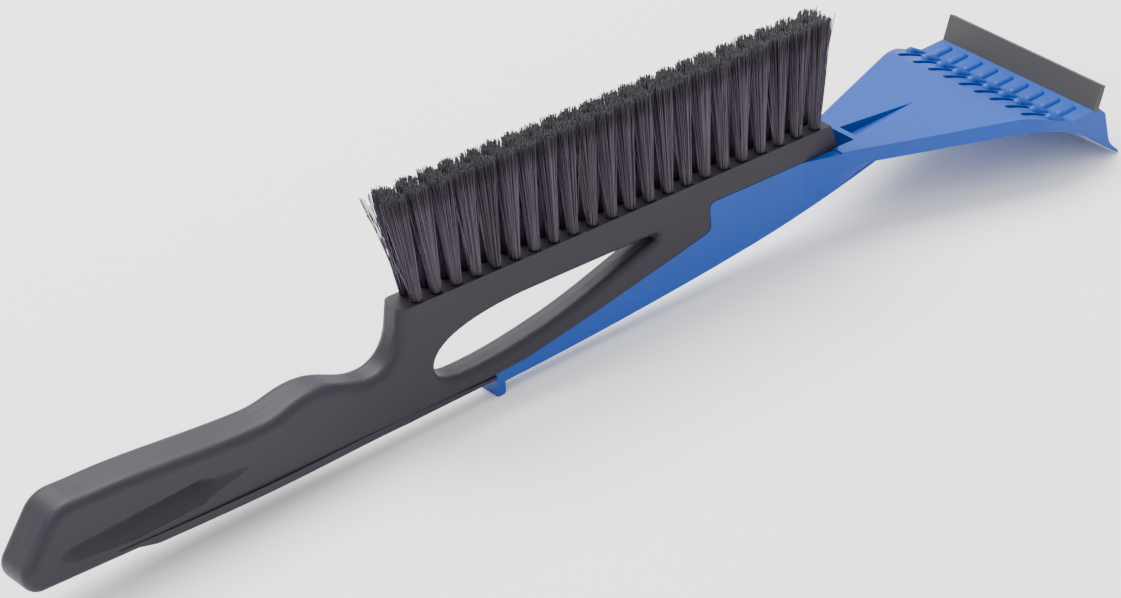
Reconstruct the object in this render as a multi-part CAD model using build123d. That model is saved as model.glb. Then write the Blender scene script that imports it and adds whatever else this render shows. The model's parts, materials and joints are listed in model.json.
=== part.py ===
from build123d import *
from math import atan2, cos, degrees, radians, sin
import os

# Snow brush with a slide-off ice scraper.  Millimetres.
# It is drawn in its own tool frame: +X runs along the bristle rail from the handle to the scraper,
# +Z is the way the bristles point, the rail's top is z = 0 and the first near-row tuft is at x = 0.
# At the end everything is turned a little, to stand on the scraper's tab and its scraping edge.

# --- brush: rail and tufts ---
TUFT_PITCH = 10.0           # spacing of the tufts along the rail
TUFT_COUNT = 22             # tufts in each of the two rows
ROW_OFFSET = 3.9            # each row's distance from the middle of the rail
HOLE_DIAMETER = 4.8         # drilled tuft hole
HOLE_DEPTH = 9.0            # depth of that hole in the rail
TUFT_CLEARANCE = 0.05       # between a tuft's foot and its hole, on the radius
BRISTLE_LENGTH = 50.8       # from the rail's top to the tips
TIP_DIAMETER = 7.2          # bundle of tips of one tuft
END_LEAN = 7.0              # how far the last tuft at each end leans outwards, in degrees
STAPLE_HEIGHT = 1.8         # anchor wire under each tuft
STAPLE_THICKNESS = 1.2
RAIL_WIDTH = 14.6
RAIL_HEIGHT = 11.5          # depth of the rail in front of the hand opening
RAIL_REAR = 10.5            # rail behind the first tuft
NOSE_LENGTH = 6.5           # rail in front of the last tuft
NOSE_SLANT = 3.4            # the nose leans forward by this much over the rail's height

# --- brush: handle ---
HANDLE_LENGTH = 190.0       # from the rail's rear end to the butt
HANDLE_WIDTH = 24.0         # over the flange along the bottom
FLANGE_STEP = 0.9           # the grip is narrower than its flange by this much on each side
FLANGE_HEIGHT = 4.6         # of the strip along the bottom
HANDLE_BOTTOM = 53.0        # depth of the handle's bottom below the rail's top
GRIP_TOP = 22.0             # depth of the grip's top below the rail's top
STOP_RISE = 4.4             # the finger stop stands this far above the grip
STOP_BACK = 46.0            # the finger stop's crest, behind the rail
SADDLE_DIP = 2.6            # the finger saddle dips this far below the grip's top
BUTT_RISE = 3.4             # the grip's top rises by this much at the butt
POCKET_DEPTH = 4.6          # hollow in each side of the grip
POCKET_LENGTH = 66.0        # of its sharp upper edge
FLANGE_EDGE = 1.2           # rounding of the flange's lower edges
FLANGE_START = 45.0         # the flange begins this far in front of the butt
FLANGE_FADE = 26.0          # and reaches its full height over this length
GRIP_TAPER = 1.0            # the grip narrows by this much before it turns into the rail
BUTT_CORNER = 9.0           # corner radius of the butt seen from above
BUTT_SLANT = 5.5            # the butt's foot reaches this much past its middle
BUTT_TOP_RADIUS = 15.0
BUTT_LOW_RADIUS = 8.0
GRIP_EDGE = 4.6             # rounding of the edges of butt, grip, stop and column

# --- brush: hand opening and beam ---
OPENING_REAR = 15.0         # from the rail's rear end to the opening
OPENING_LENGTH = 123.0
OPENING_TIP = 1.2           # radius of its pointed front end
OPENING_TOP = 16.2          # depth of its upper edge
OPENING_BOTTOM = 41.0       # depth of its lower rear corner
OPENING_EDGE = 3.6          # rounding around the opening

# --- where scraper and brush meet ---
TAIL_X = 33.5               # rear end of the scraper's tail
TAIL_TOP = 47.4             # depth of the tail's top there
STEP_X = 148.8              # the upright face behind the scraper's neck
STEP_LOW = 24.4             # depth of that face's foot
STEP_RADIUS = 3.0
FOOT_RADIUS = 3.5           # rounding of that foot
JOINT_GAP = 0.3             # all round between brush and scraper
TONGUE_WIDTH = 8.0          # T-shaped tongue under the rail
TONGUE_NECK = 4.4
TONGUE_DROP = 3.0           # from the rail's underside to the tongue's head
TONGUE_HEAD = 3.0           # height of the head
SLIDE_GAP = 0.12            # around the tongue in its slot

# --- scraper ---
SCRAPER_WIDTH = 99.4
EDGE_AHEAD = 125.7          # the scraping edge, in front of the nose
EDGE_DEPTH = 44.5
TAB_DEPTH = 58.8            # bottom of the tail's tab
TAB_THICKNESS = 4.5
TAIL_WIDTH = 12.0
PLATE_TOP = 11.0            # depth of the fan's flat top
RIM_HEIGHT = 7.0            # height of the fan's edge
PLATE_WALL = 3.2            # thickness of the fan behind its rim
SHOULDER_AHEAD = 0.5        # where the fan begins, in front of the nose
GUSSET_LENGTH = 17.0        # how far behind the shoulder the neck starts to flare
SHOULDER_HALF = 13.4        # half width of the fan there
FAN_END_AHEAD = 81.5        # where the fan reaches its full width, in front of the nose
FAN_CORNER = 12.0           # rounding where the fan reaches its full width
POCKET_ROOM = 11.5          # socket in front of the fan's shoulder, round the brush's nose
CROSSBAR = 2.8              # bar in front of that socket
SCOOP_WIDTH = 11.6          # tapering thumb scoop in front of the bar
SCOOP_TIP = 1.6             # its width at the front end
SCOOP_LENGTH = 37.0
SCOOP_DEPTH = 4.8           # below the plate, at the bar
GROOVE_COUNT = 9
GROOVE_PITCH = 10.15
GROOVE_LENGTH = 14.0        # over its round ends
GROOVE_WIDTH = 3.6
GROOVE_DEPTH = 2.4
TOOTH_RADIUS = 2.3          # rounded ice-breaking lumps
TOOTH_SLOPE = 32.0          # degrees that the upper row of lumps falls
BLADE_LENGTH = 99.4         # rubber squeegee
BLADE_HEIGHT = 12.1         # what stands out of its holder
BLADE_THICKNESS = 2.8
BLADE_LEAN = 24.0
BLADE_INSET = 3.2           # the foot and its slot end this far inside the strip
BLADE_FOOT = 6.0            # what is held in the holder
HOLDER_AHEAD = 113.0        # middle of the blade at the holder's top, in front of the nose
HOLDER_DEPTH = 20.0

RAIL_BACK_X = -RAIL_REAR
LAST_TUFT_X = TUFT_PITCH * (TUFT_COUNT - 1)
NOSE_X = LAST_TUFT_X + NOSE_LENGTH
SHOULDER_X = NOSE_X + SHOULDER_AHEAD
FAN_END_X = NOSE_X + FAN_END_AHEAD
HOLDER_X = NOSE_X + HOLDER_AHEAD
EDGE_X = NOSE_X + EDGE_AHEAD
BUTT_X = RAIL_BACK_X - HANDLE_LENGTH
OPENING_X = RAIL_BACK_X + OPENING_REAR


def side_face(edges):
    """A face in the XZ plane from edges whose points are (x, z)."""
    return Plane.XZ * make_face(edges)


def round_corner(face, corner, radius):
    """The side face with its corner nearest to the point (x, z) rounded."""
    return fillet(face.vertices().sort_by_distance((corner[0], 0, corner[1]))[0], radius)


def slab(face, width):
    """A side face as a slab of the given width about the middle plane."""
    return extrude(Pos(0, width / 2, 0) * face, width, dir=(0, -1, 0))


def plan_prism(edges):
    """A plan outline as a tall prism, to trim slabs with."""
    return extrude(make_face(edges), 200, both=True)


# ---------------------------------------------------------------- brush body

def parting_edges(drop, back):
    """The line between brush and scraper, lowered by drop and moved forward by back."""
    tail = (TAIL_X + back, -TAIL_TOP - drop)
    heel = (TAIL_X + 14.5, -TAIL_TOP + 1.4 - drop)
    foot = (STEP_X + back, -STEP_LOW - drop)
    middle = ((heel[0] + foot[0]) / 2, (heel[1] + foot[1]) / 2 - 0.9)
    riser = (STEP_X + back, -RAIL_HEIGHT - STEP_RADIUS - drop)
    shelf = (STEP_X + STEP_RADIUS + back, -RAIL_HEIGHT - drop)
    corner = (riser[0] + STEP_RADIUS * (1 - cos(radians(45))),
              shelf[1] - STEP_RADIUS * (1 - sin(radians(45))))
    return [Line(tail, heel), ThreePointArc(heel, middle, foot), Line(foot, riser),
            ThreePointArc(riser, corner, shelf)]


def brush_side():
    """Side outline of the whole brush: rail, column, finger stop, grip, butt and beam."""
    column = (RAIL_BACK_X - 1.6, -9.0)
    saddle = (RAIL_BACK_X - 17.5, -GRIP_TOP - SADDLE_DIP)
    crest = (RAIL_BACK_X - STOP_BACK, -GRIP_TOP + STOP_RISE)
    level = (RAIL_BACK_X - STOP_BACK - 27.0, -GRIP_TOP)
    back = (BUTT_X + 36.0, -GRIP_TOP + BUTT_RISE)
    corner = (BUTT_X + 20.0, -GRIP_TOP + BUTT_RISE + 0.4)
    heel = (BUTT_X - BUTT_SLANT, -HANDLE_BOTTOM)
    belly = (RAIL_BACK_X, -HANDLE_BOTTOM + 0.6)
    stop = (TAIL_X, -HANDLE_BOTTOM + 2.6)
    tail = (TAIL_X, -TAIL_TOP)
    shelf = (STEP_X + STEP_RADIUS, -RAIL_HEIGHT)
    chin = (NOSE_X + NOSE_SLANT, -RAIL_HEIGHT)
    column_curve = Bezier(column, (column[0] - 1.6, column[1] - 9.0), (saddle[0] + 9.0, saddle[1]), saddle)
    rise_curve = Bezier(saddle, (saddle[0] - 11.0, saddle[1]), (crest[0] + 12.0, crest[1]), crest)
    fall_curve = Bezier(crest, (crest[0] - 12.0, crest[1]), (level[0] + 12.0, level[1]), level)
    grip_curve = Bezier(level, (level[0] - 28.0, level[1]), (back[0] + 28.0, back[1] + 0.7), back)
    face = side_face([Line((NOSE_X, 0), (RAIL_BACK_X, 0)), Line((RAIL_BACK_X, 0), column), column_curve,
                      rise_curve, fall_curve, grip_curve,
                      Line(back, corner), Line(corner, heel), Line(heel, belly), Line(belly, stop),
                      Line(stop, tail), *parting_edges(0, 0), Line(shelf, chin), Line(chin, (NOSE_X, 0))])
    face = round_corner(face, corner, BUTT_TOP_RADIUS)
    face = round_corner(face, heel, BUTT_LOW_RADIUS)
    return round_corner(face, (STEP_X, -STEP_LOW), FOOT_RADIUS)


def brush_plan(swell):
    """Plan outline of the brush: round butt, grip with its middle wider by swell, narrow rail."""
    half_grip = HANDLE_WIDTH / 2 - FLANGE_STEP
    half_rail = RAIL_WIDTH / 2
    wide = RAIL_BACK_X - 60.0
    narrow = RAIL_BACK_X + 8.0
    front = NOSE_X + NOSE_SLANT + 10.0
    back = BUTT_X - 3.0
    shoulder = back + BUTT_CORNER
    bend = BUTT_CORNER * (1 - cos(radians(45)))
    edges = []
    for side in (1, -1):
        edges += [Spline((shoulder, side * half_grip), (wide, side * (half_grip + swell - GRIP_TAPER)),
                         (narrow, side * half_rail), tangents=((1, 0), (1, 0))),
                  Line((narrow, side * half_rail), (front, side * half_rail)),
                  ThreePointArc((shoulder, side * half_grip), (back + bend, side * (half_grip - bend)),
                                (back, side * (half_grip - BUTT_CORNER)))]
    edges.append(Line((front, -half_rail), (front, half_rail)))
    edges.append(Line((back, BUTT_CORNER - half_grip), (back, half_grip - BUTT_CORNER)))
    return plan_prism(edges)


def opening_cut():
    """The hand opening between rail and beam, as a slab."""
    rear = (OPENING_X, -OPENING_TOP - 17.0)
    low = (OPENING_X + 12.0, -OPENING_BOTTOM)
    middle = (OPENING_X + 58.0, -OPENING_BOTTOM + 5.4)
    front = (OPENING_X + 90.0, -OPENING_BOTTOM + 14.1)
    tip = (OPENING_X + OPENING_LENGTH, -OPENING_TOP)
    high = (OPENING_X + 52.0, -OPENING_TOP)
    slope = (tip[1] - front[1]) / (tip[0] - front[0])
    face = side_face([Bezier(rear, (rear[0], rear[1] - 5.0), (low[0] - 6.0, low[1]), low),
                      Bezier(low, (low[0] + 16.0, low[1]), (middle[0] - 16.0, middle[1] - 3.2), middle),
                      Bezier(middle, (middle[0] + 11.0, middle[1] + 2.2),
                             (front[0] - 11.0, front[1] - 11.0 * slope), front),
                      Line(front, tip), Line(tip, high),
                      Bezier(high, (high[0] - 28.0, high[1]), (rear[0], rear[1] + 12.0), rear)])
    face = round_corner(face, tip, OPENING_TIP)
    return slab(face, 60)


def grip_pocket(side):
    """Hollow in one side of the grip: a sharp edge above, deepest under it, fading out below and ahead."""
    face_y = HANDLE_WIDTH / 2 - FLANGE_STEP
    rear = BUTT_X + 21.5
    sections = []
    for share, top, low, depth in ((-0.03, -38.8, -42.6, 0.15), (0.05, -37.4, -44.6, 0.5),
                                   (0.5, -35.0, -46.2, 0.9), (0.97, -32.5, -44.0, 1.0),
                                   (1.08, -34.6, -41.6, 0.45), (1.32, -36.0, -38.0, 0.08)):
        plane = Plane((rear + share * POCKET_LENGTH, 0, 0), x_dir=(0, 1, 0), z_dir=(1, 0, 0))
        skin = side * face_y
        inward = -side * depth * POCKET_DEPTH
        edge, foot = (skin, top), (skin, low)
        scoop = Bezier(edge, (skin + 2.2 * inward, top - 0.3), (skin + 0.6 * inward, (top + low) / 2), foot)
        outside = Polyline(foot, (skin + side * 3.0, low), (skin + side * 3.0, top), edge)
        sections.append(plane * make_face([scoop, outside]))
    return loft(sections, ruled=True)


def tuft_places(row):
    """Base point (x, y) and lean in degrees of each tuft in the near (-1) or far (+1) row."""
    middle = LAST_TUFT_X / 2
    places = []
    for i in range(TUFT_COUNT):
        x = TUFT_PITCH * i
        share = (x - middle) / (LAST_TUFT_X / 2)
        places.append((x, row * ROW_OFFSET, END_LEAN * share ** 3))
    return places


def tuft_frame(x, y, lean):
    """Location on the rail's top with its +Z along the tuft."""
    return Pos(x, y, 0) * Rot(0, lean, 0)


def tuft_holes(row):
    drill = Pos(0, 0, -HOLE_DEPTH) * Cylinder(HOLE_DIAMETER / 2, HOLE_DEPTH + 2,
                                              align=(Align.CENTER, Align.CENTER, Align.MIN))
    return [tuft_frame(*place) * drill for place in tuft_places(row)]


def tongue(grow):
    """T-shaped tongue under the rail; grow is the slot's clearance round it."""
    start = STEP_X - 4.0 - 20 * grow
    length = NOSE_X + NOSE_SLANT + 3.0 - start
    high = -RAIL_HEIGHT + 0.5
    head = -RAIL_HEIGHT - TONGUE_DROP
    low = (Align.MIN, Align.CENTER, Align.MAX)
    stem = Pos(start, 0, high) * Box(length, TONGUE_NECK + 2 * grow,
                                     TONGUE_DROP + TONGUE_HEAD + 0.5, align=low)
    bar = Pos(start, 0, head + grow) * Box(length, TONGUE_WIDTH + 2 * grow,
                                           TONGUE_HEAD + 2 * grow, align=low)
    return stem + bar


def long_edges(shape, x_low, x_high, z_low, z_high):
    """Edges inside a range of X and Z that run along the sides: neither across nor upright."""
    chosen = ShapeList()
    for edge in shape.edges():
        box = edge.bounding_box()
        along = x_low < box.min.X and box.max.X < x_high
        inside = along and z_low < box.min.Z and box.max.Z < z_high
        if inside and box.size.X > 0.05 and box.size.Y < 0.8 * (box.size.X + box.size.Z):
            chosen.append(edge)
    return chosen


def above(depth):
    """Everything over the given depth below the rail's top."""
    return Pos(0, 0, -depth) * Box(900, 300, 300, align=(Align.CENTER, Align.CENTER, Align.MIN))


def ahead(x):
    """Everything in front of a station along the tool."""
    return Pos(x, 0, 0) * Box(600, 300, 600, align=(Align.MIN, Align.CENTER, Align.CENTER))


def brush_shell():
    """Grip, column, rail and beam in one moulding, with the strip along its bottom."""
    side = brush_side()
    flange_top = HANDLE_BOTTOM - FLANGE_HEIGHT
    body = slab(side, 60) & brush_plan(0)
    rounded = long_edges(body, BUTT_X - 20, RAIL_BACK_X + 0.01, -flange_top - 0.01, 0.1)
    rounded = [e for e in rounded if e.bounding_box().max.Z > 1 - flange_top]
    heel = long_edges(body, BUTT_X - 20, BUTT_X + 14, -HANDLE_BOTTOM - 1, -flange_top + 12)
    body = fillet(rounded + [e for e in heel if e not in rounded], GRIP_EDGE)
    start = BUTT_X + FLANGE_START
    below = -HANDLE_BOTTOM - 1
    strip = side_face([Polyline((start, -flange_top), (start + FLANGE_FADE, below), (TAIL_X + 200, below),
                                (TAIL_X + 200, -flange_top), (start, -flange_top))])
    flange = slab(side, 60) & brush_plan(FLANGE_STEP) & slab(strip, 60)
    low = long_edges(flange, BUTT_X, TAIL_X + 1, -HANDLE_BOTTOM - 1, -flange_top - 0.1)
    return body + fillet(low, FLANGE_EDGE)


def brush_body():
    """The brush moulding, drilled for its tufts."""
    body = brush_shell() - opening_cut()
    rim = long_edges(body, OPENING_X - 0.1, OPENING_X + OPENING_LENGTH + 0.1,
                     -OPENING_BOTTOM - 0.1, -OPENING_TOP + 0.1)
    body = fillet(rim, OPENING_EDGE)
    body = body - grip_pocket(1) - grip_pocket(-1) + tongue(0)
    for row in (-1, 1):
        body = body - tuft_holes(row)
    return body


# ---------------------------------------------------------------- tufts

def tufts(row):
    """One closed bundle per tuft, its foot in the drilled hole."""
    foot_depth = HOLE_DEPTH - STAPLE_HEIGHT
    foot_radius = HOLE_DIAMETER / 2 - TUFT_CLEARANCE
    low = (Align.CENTER, Align.CENTER, Align.MIN)
    foot = Pos(0, 0, -foot_depth) * Cylinder(foot_radius, foot_depth, align=low)
    bundle = foot + Cone(foot_radius, TIP_DIAMETER / 2, BRISTLE_LENGTH, align=low)
    return [tuft_frame(*place) * bundle for place in tuft_places(row)]


def staples(row):
    """The anchor wires under one row's tufts, a group of equal pieces."""
    wire = Pos(0, 0, -HOLE_DEPTH) * Box(STAPLE_THICKNESS, HOLE_DIAMETER - 0.6, STAPLE_HEIGHT,
                                        align=(Align.CENTER, Align.CENTER, Align.MIN))
    return Compound([tuft_frame(*place) * wire for place in tuft_places(row)])


# ---------------------------------------------------------------- scraper

def plate_top(drop):
    """The fan's top line from its flat to the holder, lowered by drop."""
    flat_end = (FAN_END_X - 10.0, -PLATE_TOP - drop)
    valley = (FAN_END_X + 18.0, -HOLDER_DEPTH + 0.4 - drop)
    curve = Bezier(flat_end, (flat_end[0] + 12.0, flat_end[1]), (valley[0] - 9.0, valley[1] + 2.0), valley)
    return flat_end, valley, curve


def fan_side():
    """Side outline of the fan: flat plate, holder and hooked scraping edge."""
    flat_end, valley, curve = plate_top(0)
    start = (SHOULDER_X, -PLATE_TOP)
    holder = (HOLDER_X + 2.2, -HOLDER_DEPTH + 1.0)
    brow = (HOLDER_X + 5.6, -HOLDER_DEPTH - 2.6)
    face_low = (HOLDER_X + 7.0, -EDGE_DEPTH + 9.5)
    edge_top = (EDGE_X, -EDGE_DEPTH + 0.7)
    edge_low = (EDGE_X - 0.7, -EDGE_DEPTH)
    hook = (FAN_END_X + 14.0, -PLATE_TOP - 12.4)
    rim_end = (FAN_END_X - 10.0, -PLATE_TOP - RIM_HEIGHT)
    rim_start = (SHOULDER_X, -PLATE_TOP - RIM_HEIGHT)
    return side_face([Line(start, flat_end), curve, Line(valley, holder), Line(holder, brow),
                      Line(brow, face_low),
                      Bezier(face_low, (face_low[0] + 0.6, face_low[1] - 4.5),
                             (edge_top[0] - 2.4, edge_top[1] + 3.4), edge_top),
                      Line(edge_top, edge_low),
                      Bezier(edge_low, (edge_low[0] - 8.4, edge_low[1] + 7.2),
                             (hook[0] + 11.5, hook[1] - 5.4), hook),
                      Bezier(hook, (hook[0] - 8.0, hook[1] + 3.8), (rim_end[0] + 9.0, rim_end[1]), rim_end),
                      Line(rim_end, rim_start), Line(rim_start, start)])


def fan_plan(inset):
    """Plan outline of the fan, drawn in by inset all round."""
    half = SCRAPER_WIDTH / 2 - inset
    rear = SHOULDER_X + inset
    flare = (SHOULDER_X + 24.0, SHOULDER_HALF + 10.1 - inset)
    wide = (FAN_END_X + 4.0, half)
    front = EDGE_X + 5.0
    edges = []
    for side in (1, -1):
        edges += [Bezier((rear, side * (SHOULDER_HALF - inset)),
                         (rear + 9.0, side * (SHOULDER_HALF + 3.0 - inset)),
                         (flare[0] - 7.0, side * (flare[1] - 3.0)), (flare[0], side * flare[1])),
                  Line((flare[0], side * flare[1]), (wide[0], side * wide[1])),
                  Line((wide[0], side * wide[1]), (front, side * half))]
    edges.append(Line((front, -half), (front, half)))
    edges.append(Line((rear, inset - SHOULDER_HALF), (rear, SHOULDER_HALF - inset)))
    face = make_face(edges)
    corners = [v for v in face.vertices() if abs(v.X - wide[0]) < 0.01]
    return extrude(fillet(corners, FAN_CORNER), 200, both=True)


def neck_side():
    """Side outline of the neck, the wedge under the beam, the tail and its tab."""
    rear = TAIL_X + JOINT_GAP
    start = (rear, -TAIL_TOP - JOINT_GAP)
    shelf = (STEP_X + STEP_RADIUS + JOINT_GAP, -RAIL_HEIGHT - JOINT_GAP)
    front = (SHOULDER_X + 55.0, -PLATE_TOP - RIM_HEIGHT + 1.0)
    high = (front[0], -RAIL_HEIGHT - JOINT_GAP)
    middle = (STEP_X + 11.2, -STEP_LOW - 16.8)
    inner = (rear + TAB_THICKNESS, -TAIL_TOP - 5.6)
    tab_front = (inner[0] - 0.4, -TAB_DEPTH)
    tab_rear = (rear, -TAB_DEPTH)
    face = side_face([*parting_edges(JOINT_GAP, JOINT_GAP), Line(shelf, high), Line(high, front),
                      Bezier(front, (front[0] - 38.0, front[1] - 11.6),
                             (middle[0] + 36.0, middle[1] + 4.2), middle),
                      Bezier(middle, (middle[0] - 40.0, middle[1] - 5.2),
                             (inner[0] + 40.0, inner[1] + 2.4), inner),
                      Line(inner, tab_front), Line(tab_front, tab_rear), Line(tab_rear, start)])
    face = round_corner(face, (STEP_X + JOINT_GAP, -STEP_LOW - JOINT_GAP), FOOT_RADIUS)
    face = round_corner(face, tab_front, 1.6)
    return face


def neck_plan():
    """Plan outline of neck and tail: as wide as the rail at the neck, narrower at the tail."""
    half_tail = TAIL_WIDTH / 2
    half_neck = RAIL_WIDTH / 2
    front = SHOULDER_X + 70.0
    return plan_prism([Polyline((TAIL_X - 5, -half_tail), (TAIL_X - 5, half_tail), (STEP_X, half_neck),
                                (front, half_neck), (front, -half_neck), (STEP_X, -half_neck),
                                (TAIL_X - 5, -half_tail))])


def blade_frame():
    """Location in the holder's mouth with its +Z up the leaning blade."""
    return Pos(HOLDER_X, 0, -HOLDER_DEPTH) * Rot(0, BLADE_LEAN, 0)


def squeegee_blade():
    """Rubber strip, its shorter foot in the holder's slot."""
    low = (Align.CENTER, Align.CENTER, Align.MIN)
    strip = Box(BLADE_THICKNESS, BLADE_LENGTH, BLADE_HEIGHT, align=low)
    foot = Pos(0, 0, -BLADE_FOOT) * Box(BLADE_THICKNESS, BLADE_LENGTH - 2 * BLADE_INSET,
                                        BLADE_FOOT + BLADE_HEIGHT, align=low)
    return blade_frame() * (strip + foot)


def groove_cuts():
    """Grooves from the flat plate down to the valley behind the holder, with round rear ends."""
    flat_end, valley, curve = plate_top(GROOVE_DEPTH)
    start = (FAN_END_X - 3.2, 0.0)
    end = (valley[0] + 1.0, valley[1])
    region = side_face([Line((flat_end[0] - 5, flat_end[1]), flat_end), curve, Line(valley, end),
                        Line(end, (end[0], 0)), Line((end[0], 0), (flat_end[0] - 5, 0)),
                        Line((flat_end[0] - 5, 0), (flat_end[0] - 5, flat_end[1]))])
    block = slab(region, GROOVE_WIDTH)
    path = Pos(start[0] + GROOVE_LENGTH / 2, 0, -30) * extrude(SlotOverall(GROOVE_LENGTH, GROOVE_WIDTH), 60)
    groove = block & path
    half = (GROOVE_COUNT - 1) / 2
    return [Pos(0, GROOVE_PITCH * (i - half), 0) * groove for i in range(GROOVE_COUNT)]


def capsule(length):
    """Rounded rod along X, length between the middles of its ends."""
    rod = Rot(0, 90, 0) * Cylinder(TOOTH_RADIUS, length)
    return rod + Pos(length / 2, 0, 0) * Sphere(TOOTH_RADIUS) + Pos(-length / 2, 0, 0) * Sphere(TOOTH_RADIUS)


def ice_teeth():
    """Two rows of blunt ice-breaking lumps: between the grooves on the slope, and in line with them below."""
    upper = Pos(FAN_END_X + 11.0, 0, -PLATE_TOP - 6.8) * Rot(0, TOOTH_SLOPE, 0) * capsule(7.0)
    lower = Pos(FAN_END_X + 22.0, 0, -HOLDER_DEPTH - 0.2) * capsule(7.0)
    teeth = []
    for row, count in ((upper, GROOVE_COUNT + 1), (lower, GROOVE_COUNT)):
        teeth += [Pos(0, GROOVE_PITCH * (i - (count - 1) / 2), 0) * row for i in range(count)]
    return teeth


def gusset_section(x, wide, top, mid, low):
    """Cross section of the gusset at a station, narrowing to the neck's width at its foot."""
    half_neck = RAIL_WIDTH / 2 - 0.1
    plane = Plane((x, 0, 0), x_dir=(0, 1, 0), z_dir=(1, 0, 0))
    return plane * make_face([Polyline((-wide, top), (-wide, mid), (-half_neck, low), (half_neck, low),
                                       (wide, mid), (wide, top), (-wide, top))])


def gusset():
    """Web that flares the neck out to the fan's rear corners."""
    top = -RAIL_HEIGHT - JOINT_GAP
    rim = -PLATE_TOP - RIM_HEIGHT
    rear = gusset_section(SHOULDER_X - GUSSET_LENGTH, RAIL_WIDTH / 2 + 0.02, top, rim, -34.0)
    corner = gusset_section(SHOULDER_X + 0.3, SHOULDER_HALF + 0.1, top, rim, -31.0)
    front = gusset_section(SHOULDER_X + 19.0, SHOULDER_HALF + 3.0, top - 3.0, rim, -25.5)
    return loft([rear, corner, front], ruled=True)


def scoop_section(x, width, depth):
    """Cross section of the thumb scoop at a station: upright walls, its floor depth below the plate's top."""
    plane = Plane((x, 0, -PLATE_TOP), x_dir=(0, 1, 0), z_dir=(1, 0, 0))
    return plane * Pos(0, (2.0 - depth) / 2) * Rectangle(width, depth + 2.0)


def scraper_body():
    """Fan, neck, tail and tab in one moulding."""
    fan = slab(fan_side(), SCRAPER_WIDTH + 20) & fan_plan(0)
    hollow = fan_plan(PLATE_WALL) - above(PLATE_TOP + PLATE_WALL) - ahead(FAN_END_X - 6.0)
    neck = slab(neck_side(), 60) & neck_plan()
    body = (fan - hollow) + neck + gusset()
    body = body - groove_cuts() + ice_teeth()
    floor = RAIL_HEIGHT + TONGUE_DROP + TONGUE_HEAD + 0.6
    pocket = Pos(SHOULDER_X - 0.01, 0, -floor) * Box(POCKET_ROOM, RAIL_WIDTH + 2 * JOINT_GAP, 60,
                                                     align=(Align.MIN, Align.CENTER, Align.MIN))
    scoop_start = SHOULDER_X + POCKET_ROOM + CROSSBAR
    scoop = loft([scoop_section(scoop_start, SCOOP_WIDTH, SCOOP_DEPTH),
                  scoop_section(scoop_start + SCOOP_LENGTH, SCOOP_TIP, 0.1)], ruled=True)
    return body - pocket - scoop - tongue(SLIDE_GAP) - squeegee_blade()


# ---------------------------------------------------------------- the whole tool

def standing():
    """Turn that stands the tool on its tab and its scraping edge."""
    tab_x = TAIL_X + JOINT_GAP + TAB_THICKNESS / 2
    return Rot(0, degrees(atan2(TAB_DEPTH - EDGE_DEPTH, EDGE_X - tab_x)), 0)


def main():
    nodes = {"brush_body": brush_body(), "scraper_body": scraper_body(), "squeegee_blade": squeegee_blade()}
    for name, row in (("near", -1), ("far", 1)):
        nodes[f"tuft_staples_{name}"] = staples(row)
        for i, tuft in enumerate(tufts(row)):
            nodes[f"bristle_tuft_{name}_{i + 1:02d}"] = tuft
    turned = {name: standing() * shape for name, shape in nodes.items()}
    box = Compound(list(turned.values())).bounding_box()
    seat = Pos(-box.center().X, 0, -box.min.Z)
    os.makedirs("parts", exist_ok=True)
    for name, shape in turned.items():
        export_step(seat * shape, f"parts/{name}.step")


if __name__ == "__main__":
    main()
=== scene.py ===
"""Looks of a snow brush with a slide-on ice scraper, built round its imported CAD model."""

import json
import math
import random

import bmesh
import bpy
from bpy.props import FloatProperty, FloatVectorProperty, IntProperty, PointerProperty
from mathutils import Euler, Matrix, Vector


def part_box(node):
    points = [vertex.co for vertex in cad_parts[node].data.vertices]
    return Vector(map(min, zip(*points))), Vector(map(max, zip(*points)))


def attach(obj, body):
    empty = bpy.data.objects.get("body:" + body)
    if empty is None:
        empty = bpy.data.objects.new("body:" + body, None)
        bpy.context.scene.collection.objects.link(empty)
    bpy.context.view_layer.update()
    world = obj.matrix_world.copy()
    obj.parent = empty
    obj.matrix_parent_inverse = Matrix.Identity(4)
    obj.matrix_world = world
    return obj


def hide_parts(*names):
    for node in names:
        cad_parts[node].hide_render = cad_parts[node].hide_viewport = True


bl_info = {
    "name": "Snow brush and ice scraper",
    "version": (1, 0, 0),
    "blender": (4, 5, 0),
    "location": "View3D > Sidebar > Snow brush",
    "description": "Fans out the bristles, finishes each moulding and sets the stage",
    "category": "Object",
}

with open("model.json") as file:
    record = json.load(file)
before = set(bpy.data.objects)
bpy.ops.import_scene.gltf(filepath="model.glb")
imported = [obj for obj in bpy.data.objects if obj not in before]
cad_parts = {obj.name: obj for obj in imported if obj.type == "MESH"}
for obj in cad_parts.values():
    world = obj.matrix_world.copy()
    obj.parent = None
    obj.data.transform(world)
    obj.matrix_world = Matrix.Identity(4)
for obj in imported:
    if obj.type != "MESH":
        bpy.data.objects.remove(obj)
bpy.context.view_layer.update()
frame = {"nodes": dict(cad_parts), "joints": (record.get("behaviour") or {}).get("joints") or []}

MM = 0.001
SLIDE = Vector(frame["joints"][0]["axis"]).normalized()     # the rail runs along this
ACROSS = Vector((0, 1, 0))
UP = SLIDE.cross(ACROSS)    # square to the rail's top
ROWS = ("near", "far")
SAME_RING = 2 * MM          # corners of a tuft this close in height are at the same end
HOLE_DEPTH = 9 * MM         # of the tuft holes in the rail
SEAT = 1.5 * MM             # filaments start this far down in their hole
SIDES = 3                   # of one filament
STATIONS = (0.0, 0.22, 0.48, 0.75, 1.0)     # shares of a filament's length where its line has a point
NARROWER = 0.86             # a tuft's spread across the rail, as a share of its spread along it
BOW_RANGE = 0.35            # how much later some filaments splay out than others
SWAY = 0.35                 # sideways wave of a filament, as a share of its wandering
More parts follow.
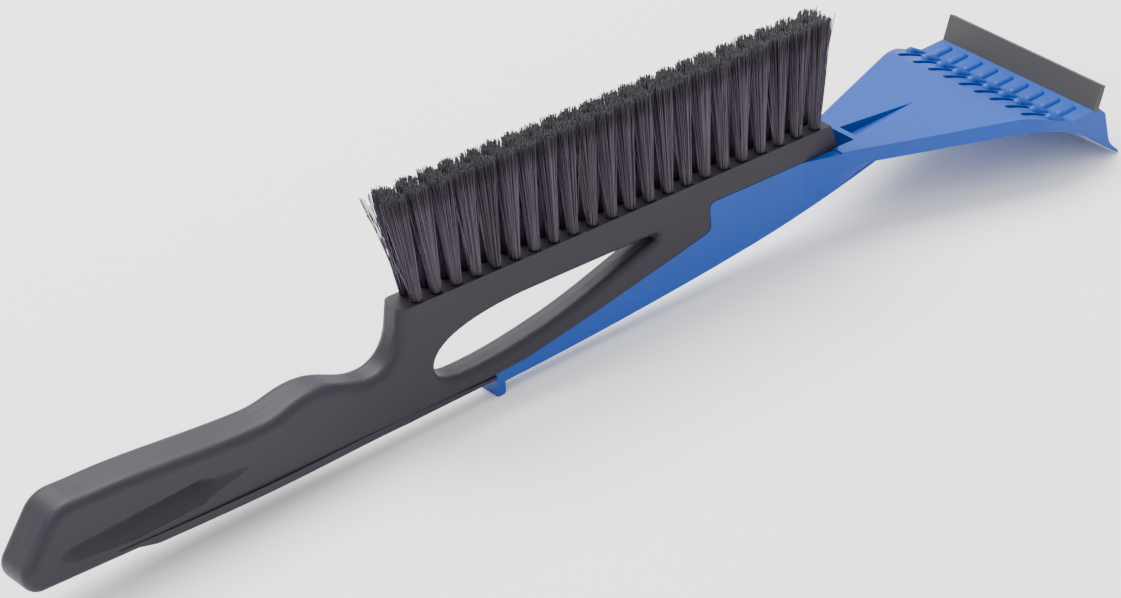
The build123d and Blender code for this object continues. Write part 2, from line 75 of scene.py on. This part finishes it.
STRAYS_AT_START = 9         # loose filaments on the tufts at the handle end
STRAYS_ELSEWHERE = 3
LEAN_AT_START = -1.0        # which way and how far they lean, as a share of the stray reach
LEAN_AT_END = 0.7
LEAN_BETWEEN = 0.5          # either way
MAP_NAME = "OFBake"
SIDE_TOP = 0.97             # a filament's sides fill the map up to here, and its cut end lies above
CAP_CORNERS = ((0.1, 0.975), (0.9, 0.975), (0.5, 0.998))
GAMMA = 2.4
FLOOR_REACH = 6.0
FLOOR_GAP = 0.3 * MM        # keeps the floor just under the tool
OVERHEAD_PLACE, OVERHEAD_WIDTH = (0.15, 0.75, 1.7), 1.5
FRONT_PLACE, FRONT_WIDTH = (-1.4, -0.2, 1.3), 1.0
FRONT_AIM = (0.0, 0.0, 0.05)
CAMERA_PLACE = (-0.98595, -1.49172, 1.09352)
CAMERA_TURN = (58.972, 6.463, -37.397)      # degrees
CAMERA_LENS, CAMERA_SENSOR = 160.57, 36.0   # millimetres


def linear(red, green, blue):
    """A colour given as bytes on the display, turned into light."""
    return tuple(((c / 255 + 0.055) / 1.055) ** GAMMA for c in (red, green, blue))


# ---------------------------------------------------------------- settings

class BristleSettings(bpy.types.PropertyGroup):
    """How the tufts are made."""

    per_tuft: IntProperty(
        name="Filaments", description="Filaments in one tuft", default=190, min=12, max=400)
    thickness: FloatProperty(
        name="Thickness", description="Thickness of one filament", default=0.46 * MM,
        unit="LENGTH", subtype="DISTANCE")
    foot: FloatProperty(
        name="Foot", description="Half the width of a tuft where it leaves the rail",
        default=2.35 * MM, unit="LENGTH", subtype="DISTANCE")
    fan: FloatProperty(
        name="Fan", description="Half the width of a tuft at its tip", default=5.2 * MM,
        unit="LENGTH", subtype="DISTANCE")
    unruly: FloatProperty(
        name="Unruly", description="How far single filaments wander from the fan",
        default=0.55 * MM, unit="LENGTH", subtype="DISTANCE")
    ragged: FloatProperty(
        name="Ragged", description="How uneven the cut of the tips is", default=0.9 * MM,
        unit="LENGTH", subtype="DISTANCE")
    stray_reach: FloatProperty(
        name="Stray reach", description="How far the stray filaments of the end tufts lean out",
        default=9.0 * MM, unit="LENGTH", subtype="DISTANCE")
    seed: IntProperty(name="Seed", description="Start of the random draws", default=41)


class FinishSettings(bpy.types.PropertyGroup):
    """Colours of the mouldings, the rubber and the filaments."""

    brush: FloatVectorProperty(
        name="Brush", description="Dark moulded plastic", default=linear(31, 25, 36),
        subtype="COLOR", size=3, min=0, max=1)
    scraper: FloatVectorProperty(
        name="Scraper", description="Blue moulded plastic", default=linear(0, 60, 146),
        subtype="COLOR", size=3, min=0, max=1)
    rubber: FloatVectorProperty(
        name="Rubber", description="Squeegee strip", default=linear(46, 45, 45),
        subtype="COLOR", size=3, min=0, max=1)
    rubber_lip: FloatVectorProperty(
        name="Rubber lip", description="Browner lower part of the squeegee strip",
        default=linear(48, 41, 37), subtype="COLOR", size=3, min=0, max=1)
    filament: FloatVectorProperty(
        name="Filament", description="Bristle filaments", default=linear(61, 50, 67),
        subtype="COLOR", size=3, min=0, max=1)


class StageSettings(bpy.types.PropertyGroup):
    """Floor, lights and camera."""

    floor: FloatVectorProperty(
        name="Floor", description="Pale floor", default=(0.93, 0.93, 0.93),
        subtype="COLOR", size=3, min=0, max=1)
    overhead: FloatProperty(
        name="Overhead", description="Power of the softbox above", default=70.0, min=0, unit="POWER")
    front: FloatProperty(
        name="Front", description="Power of the softbox in front on the left", default=10.0, min=0,
        unit="POWER")
    sky: FloatProperty(
        name="Sky", description="Strength of the even light all round", default=1.4, min=0)


# ---------------------------------------------------------------- shader maths

class Wire:
    """A shader socket that can stand in a sum, so that 1 - mask adds its own Math node."""

    def __init__(self, recipe, socket):
        self.recipe = recipe
        self.socket = socket

    def combine(self, operation, first, second):
        return self.recipe.node("ShaderNodeMath", {"operation": operation}, {0: first, 1: second})

    def __add__(self, other):
        return self.combine("ADD", self, other)

    def __radd__(self, other):
        return self.combine("ADD", other, self)

    def __sub__(self, other):
        return self.combine("SUBTRACT", self, other)

    def __rsub__(self, other):
        return self.combine("SUBTRACT", other, self)

    def __mul__(self, other):
        return self.combine("MULTIPLY", self, other)

    def __rmul__(self, other):
        return self.combine("MULTIPLY", other, self)

    def __truediv__(self, other):
        return self.combine("DIVIDE", self, other)

    def __rpow__(self, other):
        return self.combine("POWER", other, self)


class Recipe:
    """One material and its nodes."""

    def __init__(self, name, **constants):
        self.material = bpy.data.materials.new(name)
        self.material.use_nodes = True
        self.tree = self.material.node_tree
        self.shader = self.tree.nodes["Principled BSDF"]
        for socket, value in constants.items():
            self.shader.inputs[socket.replace("_", " ")].default_value = value

    def node(self, kind, settings=None, inputs=None, output=0):
        """Adds any node: its settings first, then the values or links of its sockets."""
        made = self.tree.nodes.new(kind)
        for key, value in (settings or {}).items():
            if key == "stops":
                self.set_stops(made.color_ramp, value)
            else:
                setattr(made, key, value)
        for key, value in (inputs or {}).items():
            if isinstance(value, Wire):
                self.tree.links.new(value.socket, made.inputs[key])
            else:
                made.inputs[key].default_value = value
        return Wire(self, made.outputs[output])

    @staticmethod
    def set_stops(ramp, stops):
        while len(ramp.elements) < len(stops):
            ramp.elements.new(1.0)
        for element, (place, grey) in zip(ramp.elements, stops):
            element.position = place
            element.color = (grey, grey, grey, 1)

    def feed(self, socket, wire):
        self.tree.links.new(wire.socket, self.shader.inputs[socket])

    def place(self, stretch=(1, 1, 1)):
        """The point on the object, in metres, with each axis stretched."""
        point = self.node("ShaderNodeTexCoord", output="Object")
        return self.node("ShaderNodeVectorMath", {"operation": "MULTIPLY"}, {0: point, 1: stretch})

    def axis(self, number):
        """One coordinate of the point on the object."""
        point = self.node("ShaderNodeTexCoord", output="Object")
        return self.node("ShaderNodeSeparateXYZ", inputs={0: point}, output=number)

    def noise(self, scale, detail=2.0, stretch=(1, 1, 1)):
        return self.node("ShaderNodeTexNoise",
                         inputs={"Vector": self.place(stretch), "Scale": scale, "Detail": detail})

    def ramp(self, value, stops):
        return self.node("ShaderNodeValToRGB", {"stops": stops}, {0: value})

    def mix(self, share, first, second):
        """Colour between two colours."""
        sockets = {0: share, 6: first, 7: second}
        return self.node("ShaderNodeMix", {"data_type": "RGBA"}, sockets, output=2)

    def bump(self, height, depth, strength=1.0):
        """Bumps of the given depth in metres feed the shader's normal."""
        self.feed("Normal", self.node("ShaderNodeBump", inputs={
            "Height": height, "Distance": depth, "Strength": strength}))


def tinted(colour, factor):
    """A colour made lighter or darker, with its alpha."""
    return tuple(min(1.0, c * factor) for c in colour) + (1.0,)


def moulded_plastic(name, colour, shine, seam):
    """Satin moulded plastic: fine grain, flow marks, rub marks along the tool and a parting line."""
    recipe = Recipe(name, IOR=1.49, Specular_IOR_Level=0.32)
    clouds = recipe.noise(38, detail=4, stretch=(0.6, 1, 1))
    scuffs = recipe.noise(26, detail=6, stretch=(1.4, 24, 24))
    rubs = recipe.ramp(scuffs, [(0.56, 0.0), (0.72, 1.0)])
    specks = recipe.ramp(recipe.noise(900, detail=1), [(0.68, 0.0), (0.76, 1.0)])
    body = recipe.mix(clouds, tinted(colour, 0.88), tinted(colour, 1.12))
    worn = recipe.mix(rubs * 0.16 + specks * 0.10, body, tinted(colour, 1.9))
    recipe.feed("Base Color", worn)
    recipe.feed("Roughness", shine + clouds * 0.12 + rubs * 0.08)
    grain = recipe.noise(2300, detail=3)
    ripple = recipe.noise(120, detail=1, stretch=(0.4, 1, 1))
    height = grain * 0.55 + ripple * 1.3 - rubs * 0.35
    if seam:
        across = recipe.axis(1) / (0.22 * MM)
        height = height + 2.2 * math.e ** (0 - across * across)     # a fine ridge down the middle
    recipe.bump(height, 0.045 * MM, strength=0.75)
    return recipe.material


def squeegee_rubber(name, colour, lip, lip_top):
    """Matt rubber: a browner lip below lip_top, fine pits, and wipe marks across it."""
    recipe = Recipe(name, IOR=1.52)
    wander = recipe.noise(160, detail=3) * (1.2 * MM)
    below_lip = (lip_top - recipe.axis(2) + wander) / (1.4 * MM)
    low = recipe.ramp(below_lip, [(0.0, 0.0), (1.0, 1.0)])
    clouds = recipe.noise(70, detail=4)
    wipes = recipe.noise(60, detail=5, stretch=(1, 9, 1))
    marks = recipe.ramp(wipes, [(0.5, 0.0), (0.75, 1.0)])
    body = recipe.mix(low, tinted(colour, 1.0), tinted(lip, 1.0))
    faded = recipe.mix(clouds * 0.35 + marks * 0.2, body, tinted(colour, 1.35))
    recipe.feed("Base Color", faded)
    recipe.feed("Roughness", 0.58 + clouds * 0.16)
    recipe.bump(recipe.noise(1800, detail=3) + marks * 0.6, 0.05 * MM, strength=0.7)
    return recipe.material


def bristle_nylon(name, colour):
    """Dark nylon filaments, each its own tone, with painted shade that darkens them down in the tuft
    and at the cut tips.
    """
    recipe = Recipe(name, IOR=1.53)
    shade = recipe.node("ShaderNodeAttribute", {"attribute_name": "shade"}, output="Fac")
    along = recipe.node("ShaderNodeAttribute", {"attribute_name": "along"}, output="Fac")
    # painted shade along each filament: darker towards its seat in the hole, where the tuft shades it,
    # and nearly black at the cut tips, where shadow between the filaments is painted in
    painted_shade_along = recipe.ramp(along, [(0.0, 0.3), (0.10, 0.75), (0.45, 1.0), (0.80, 0.88), (1.0, 0.04)])
    streaks = recipe.noise(400, detail=2, stretch=(1, 1, 0.08))
    body = recipe.mix(shade * 0.7 + streaks * 0.3, tinted(colour, 0.42), tinted(colour, 1.75))
    recipe.feed("Base Color", recipe.mix(painted_shade_along, tinted(colour, 0.14), body))
    recipe.feed("Roughness", 0.34 + shade * 0.16)
    recipe.bump(recipe.noise(3000, detail=1, stretch=(1, 1, 0.1)), 0.01 * MM, strength=0.5)
    return recipe.material


def drawn_wire(name):
    """Bright drawn steel wire of the anchors."""
    recipe = Recipe(name, Metallic=1.0, IOR=2.5)
    drawing = recipe.noise(1500, detail=3, stretch=(1, 0.05, 1))
    dull, bright = (0.42, 0.42, 0.43, 1), (0.62, 0.62, 0.62, 1)
    recipe.feed("Base Color", recipe.mix(drawing, dull, bright))
    recipe.feed("Roughness", 0.28 + drawing * 0.14)
    recipe.bump(drawing, 0.01 * MM, strength=0.5)
    return recipe.material


def stage_paper(name, colour):
    """Pale matt floor with a barely uneven surface."""
    recipe = Recipe(name)
    fibres = recipe.noise(30, detail=5)
    recipe.feed("Base Color", recipe.mix(fibres, tinted(colour, 0.995), tinted(colour, 1.005)))
    recipe.feed("Roughness", 0.86 + fibres * 0.08)
    return recipe.material


# ---------------------------------------------------------------- shapes

def middle(points):
    return sum(points, Vector()) / len(points)


def tuft_ends(node):
    """Middles of a tuft's foot in its hole and of its tip."""
    corners = [v.co.copy() for v in frame["nodes"][node].data.vertices]
    heights = [c.dot(UP) for c in corners]
    low = min(heights) + SAME_RING
    high = max(heights) - SAME_RING
    foot = middle([c for c, h in zip(corners, heights) if h < low])
    tip = middle([c for c, h in zip(corners, heights) if h > high])
    return foot, tip


def tuft_names(row):
    return sorted(n for n in frame["nodes"] if n.startswith("bristle_tuft_" + row))


def spot_in_disc(draw):
    """A random point of the unit disc, evenly spread."""
    angle = draw.uniform(0, 2 * math.pi)
    out = math.sqrt(draw.random())
    return out * math.cos(angle), out * math.sin(angle)


def filament_line(draw, foot, tip, settings, lean_out):
    """Centre line of one filament from its seat to its cut end, as (share, point) pairs."""
    along_rail, across_rail = spot_in_disc(draw)
    rise = (tip - foot).normalized()
    mouth = foot + rise * (HOLE_DEPTH - SEAT)
    length = (tip - mouth).length - abs(draw.gauss(0, settings.ragged))
    fan_x = settings.fan * along_rail + draw.gauss(0, settings.unruly) + lean_out
    fan_y = NARROWER * settings.fan * across_rail + draw.gauss(0, settings.unruly)
    bow = 1.0 + BOW_RANGE * draw.random()
    wave = draw.gauss(0, SWAY * settings.unruly)
    line = []
    for share in STATIONS:
        spread = share ** bow
        sway = wave * math.sin(math.pi * share)
        side_x = settings.foot * along_rail * (1 - spread) + fan_x * spread + sway
        side_y = settings.foot * across_rail * (1 - spread) + fan_y * spread - sway
        # a filament that leans out ends lower, because its length stays the same
        drop = 0.5 * (fan_x * fan_x + fan_y * fan_y) / length * spread
        point = mouth + rise * (length * share - drop) + SLIDE * side_x + ACROSS * side_y
        line.append((share, point))
    return line


def add_ring(shell, point, radius, turn, marks):
    """Corners round one point of a filament, with its marks (layer and value) stored on each."""
    ring = []
    for side in range(SIDES):
        angle = turn + 2 * math.pi * side / SIDES
        out = SLIDE * math.cos(angle) + ACROSS * math.sin(angle)
        vert = shell.verts.new(point + out * radius)
        for layer, value in marks:
            vert[layer] = value
        ring.append(vert)
    return ring


def tuft_mesh(name, foot, tip, settings, draw, lean_out, strays):
    """Mesh of a whole tuft. Each filament stores its shade and has its own column in the map."""
    mesh = bpy.data.meshes.new(name)
    shell = bmesh.new()
    shade_layer = shell.verts.layers.float.new("shade")
    along_layer = shell.verts.layers.float.new("along")
    uv_layer = shell.loops.layers.uv.new(MAP_NAME)
    radius = settings.thickness / 2
    count = settings.per_tuft + strays
    for number in range(count):
        wild = number >= settings.per_tuft
        push = lean_out * draw.uniform(0.4, 1.0) if wild else 0.0
        shade = draw.random()
        turn = draw.uniform(0, 2 * math.pi)
        rings = []
        for share, point in filament_line(draw, foot, tip, settings, push):
            marks = ((shade_layer, shade), (along_layer, share))
            rings.append((share, add_ring(shell, point, radius, turn, marks)))
        for (low, lower), (high, upper) in zip(rings, rings[1:]):
            for side in range(SIDES):
                after = (side + 1) % SIDES
                face = shell.faces.new((lower[side], lower[after], upper[after], upper[side]))
                left = (number + side / SIDES) / count
                right = (number + (side + 1) / SIDES) / count
                corners = ((left, low), (right, low), (right, high), (left, high))
                for loop, (u, v) in zip(face.loops, corners):
                    loop[uv_layer].uv = (u, SIDE_TOP * v)
        cap = shell.faces.new(rings[-1][1])
        for loop, (u, v) in zip(cap.loops, CAP_CORNERS):
            loop[uv_layer].uv = ((number + u) / count, v)
    for face in shell.faces:
        face.smooth = True
    shell.to_mesh(mesh)
    shell.free()
    return mesh


def add_object(name, data):
    piece = bpy.data.objects.new(name, data)
    bpy.context.scene.collection.objects.link(piece)
    return piece


def finish_node(node, material):
    """Gives every material slot of a CAD node the same finish."""
    slots = frame["nodes"][node].data.materials
    for number in range(len(slots)):
        slots[number] = material


# ---------------------------------------------------------------- operators

class SNOWBRUSH_OT_brush_finish(bpy.types.Operator):
    """Finishes the dark brush moulding"""

    bl_idname = "snowbrush.brush_finish"
    bl_label = "Brush moulding"

    def execute(self, context):
        colour = context.scene.snowbrush_finish.brush
        finish_node("brush_body", moulded_plastic("dark_satin_plastic", colour, 0.44, seam=True))
        return {"FINISHED"}


class SNOWBRUSH_OT_scraper_finish(bpy.types.Operator):
    """Finishes the blue scraper moulding"""

    bl_idname = "snowbrush.scraper_finish"
    bl_label = "Scraper moulding"

    def execute(self, context):
        colour = context.scene.snowbrush_finish.scraper
        finish_node("scraper_body", moulded_plastic("blue_satin_plastic", colour, 0.42, seam=False))
        return {"FINISHED"}


class SNOWBRUSH_OT_squeegee_finish(bpy.types.Operator):
    """Finishes the rubber strip of the squeegee"""

    bl_idname = "snowbrush.squeegee_finish"
    bl_label = "Squeegee strip"

    def execute(self, context):
        finish = context.scene.snowbrush_finish
        low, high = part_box("squeegee_blade")
        lip_top = low.z + 0.34 * (high.z - low.z)
        rubber = squeegee_rubber("squeegee_rubber", finish.rubber, finish.rubber_lip, lip_top)
        finish_node("squeegee_blade", rubber)
        return {"FINISHED"}


class SNOWBRUSH_OT_anchor_finish(bpy.types.Operator):
    """Finishes the anchor wires at the bottom of the tuft holes"""

    bl_idname = "snowbrush.anchor_finish"
    bl_label = "Anchor wires"

    def execute(self, context):
        material = drawn_wire("drawn_steel_wire")
        for row in ROWS:
            finish_node("tuft_staples_" + row, material)
        return {"FINISHED"}


class SNOWBRUSH_OT_tufts(bpy.types.Operator):
    """Fans out the filaments of every tuft in both rows"""

    bl_idname = "snowbrush.tufts"
    bl_label = "Bristle tufts"

    def execute(self, context):
        settings = context.scene.snowbrush_bristles
        material = bristle_nylon("bristle_nylon", context.scene.snowbrush_finish.filament)
        draw = random.Random(settings.seed)
        for row in ROWS:
            names = tuft_names(row)
            if not names:
                raise RuntimeError("the packed model has no tufts in the " + row + " row")
            for number, node in enumerate(names):
                foot, tip = tuft_ends(node)
                strays = STRAYS_ELSEWHERE
                if number == 0:
                    lean, strays = LEAN_AT_START, STRAYS_AT_START
                elif number == len(names) - 1:
                    lean = LEAN_AT_END
                else:
                    lean = draw.choice((-LEAN_BETWEEN, LEAN_BETWEEN))
                reach = settings.stray_reach * lean
                name = "tuft_%s_%02d" % (row, number + 1)
                mesh = tuft_mesh(name, foot, tip, settings, draw, reach, strays)
                piece = add_object(name, mesh)
                piece.data.materials.append(material)
                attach(piece, "brush")
                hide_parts(node)
        return {"FINISHED"}


class SNOWBRUSH_OT_stage(bpy.types.Operator):
    """Sets the floor, the soft lights and the camera"""

    bl_idname = "snowbrush.stage"
    bl_label = "Stage"

    def execute(self, context):
        stage = context.scene.snowbrush_stage
        self.add_floor(stage)
        self.add_softbox("overhead_softbox", OVERHEAD_PLACE, (0, 0, 0), OVERHEAD_WIDTH, stage.overhead)
        self.add_softbox("front_softbox", FRONT_PLACE, FRONT_AIM, FRONT_WIDTH, stage.front)
        self.light_sky(context.scene, stage.sky)
        self.add_camera(context.scene)
        return {"FINISHED"}

    @staticmethod
    def add_floor(stage):
        sheet = bmesh.new()
        bmesh.ops.create_grid(sheet, x_segments=12, y_segments=12, size=FLOOR_REACH)
        mesh = bpy.data.meshes.new("floor")
        sheet.to_mesh(mesh)
        sheet.free()
        floor = add_object("floor", mesh)
        floor.location.z = -FLOOR_GAP
        mesh.materials.append(stage_paper("floor_paper", stage.floor))

    @staticmethod
    def add_softbox(name, place, aim, width, power):
        light = bpy.data.lights.new(name, "AREA")
        light.shape = "SQUARE"
        light.size = width
        light.energy = power
        lamp = add_object(name, light)
        lamp.location = place
        lamp.rotation_euler = (Vector(aim) - Vector(place)).to_track_quat("-Z", "Y").to_euler()

    @staticmethod
    def light_sky(scene, strength):
        world = bpy.data.worlds.new("even_sky")
        world.use_nodes = True
        background = world.node_tree.nodes["Background"]
        background.inputs["Color"].default_value = (1.0, 1.0, 1.0, 1.0)
        background.inputs["Strength"].default_value = strength
        scene.world = world

    @staticmethod
    def add_camera(scene):
        lens = bpy.data.cameras.new("camera")
        lens.lens = CAMERA_LENS
        lens.sensor_width = CAMERA_SENSOR
        camera = add_object("camera", lens)
        camera.location = CAMERA_PLACE
        camera.rotation_euler = Euler([math.radians(angle) for angle in CAMERA_TURN], "XYZ")
        scene.camera = camera


class SNOWBRUSH_PT_panel(bpy.types.Panel):
    """Lists the pieces and their settings in the sidebar"""

    bl_label = "Snow brush"
    bl_idname = "SNOWBRUSH_PT_panel"
    bl_space_type = "VIEW_3D"
    bl_region_type = "UI"
    bl_category = "Snow brush"

    def draw(self, context):
        column = self.layout.column()
        for operator in OPERATORS:
            column.operator(operator.bl_idname)
        for group in SETTINGS:
            settings = getattr(context.scene, group)
            column.separator()
            for name in settings.__annotations__:
                column.prop(settings, name)


SETTINGS = {
    "snowbrush_bristles": BristleSettings,
    "snowbrush_finish": FinishSettings,
    "snowbrush_stage": StageSettings,
}
OPERATORS = (
    SNOWBRUSH_OT_brush_finish,
    SNOWBRUSH_OT_scraper_finish,
    SNOWBRUSH_OT_squeegee_finish,
    SNOWBRUSH_OT_anchor_finish,
    SNOWBRUSH_OT_tufts,
    SNOWBRUSH_OT_stage,
)
CLASSES = tuple(SETTINGS.values()) + OPERATORS + (SNOWBRUSH_PT_panel,)


def register():
    for cls in CLASSES:
        bpy.utils.register_class(cls)
    for name, group in SETTINGS.items():
        setattr(bpy.types.Scene, name, PointerProperty(type=group))


def unregister():
    for name in SETTINGS:
        delattr(bpy.types.Scene, name)
    for cls in reversed(CLASSES):
        bpy.utils.unregister_class(cls)


def main():
    register()
    bpy.ops.snowbrush.stage()
    bpy.ops.snowbrush.brush_finish()
    bpy.ops.snowbrush.scraper_finish()
    bpy.ops.snowbrush.squeegee_finish()
    bpy.ops.snowbrush.anchor_finish()
    bpy.ops.snowbrush.tufts()


if __name__ == "__main__":
    main()
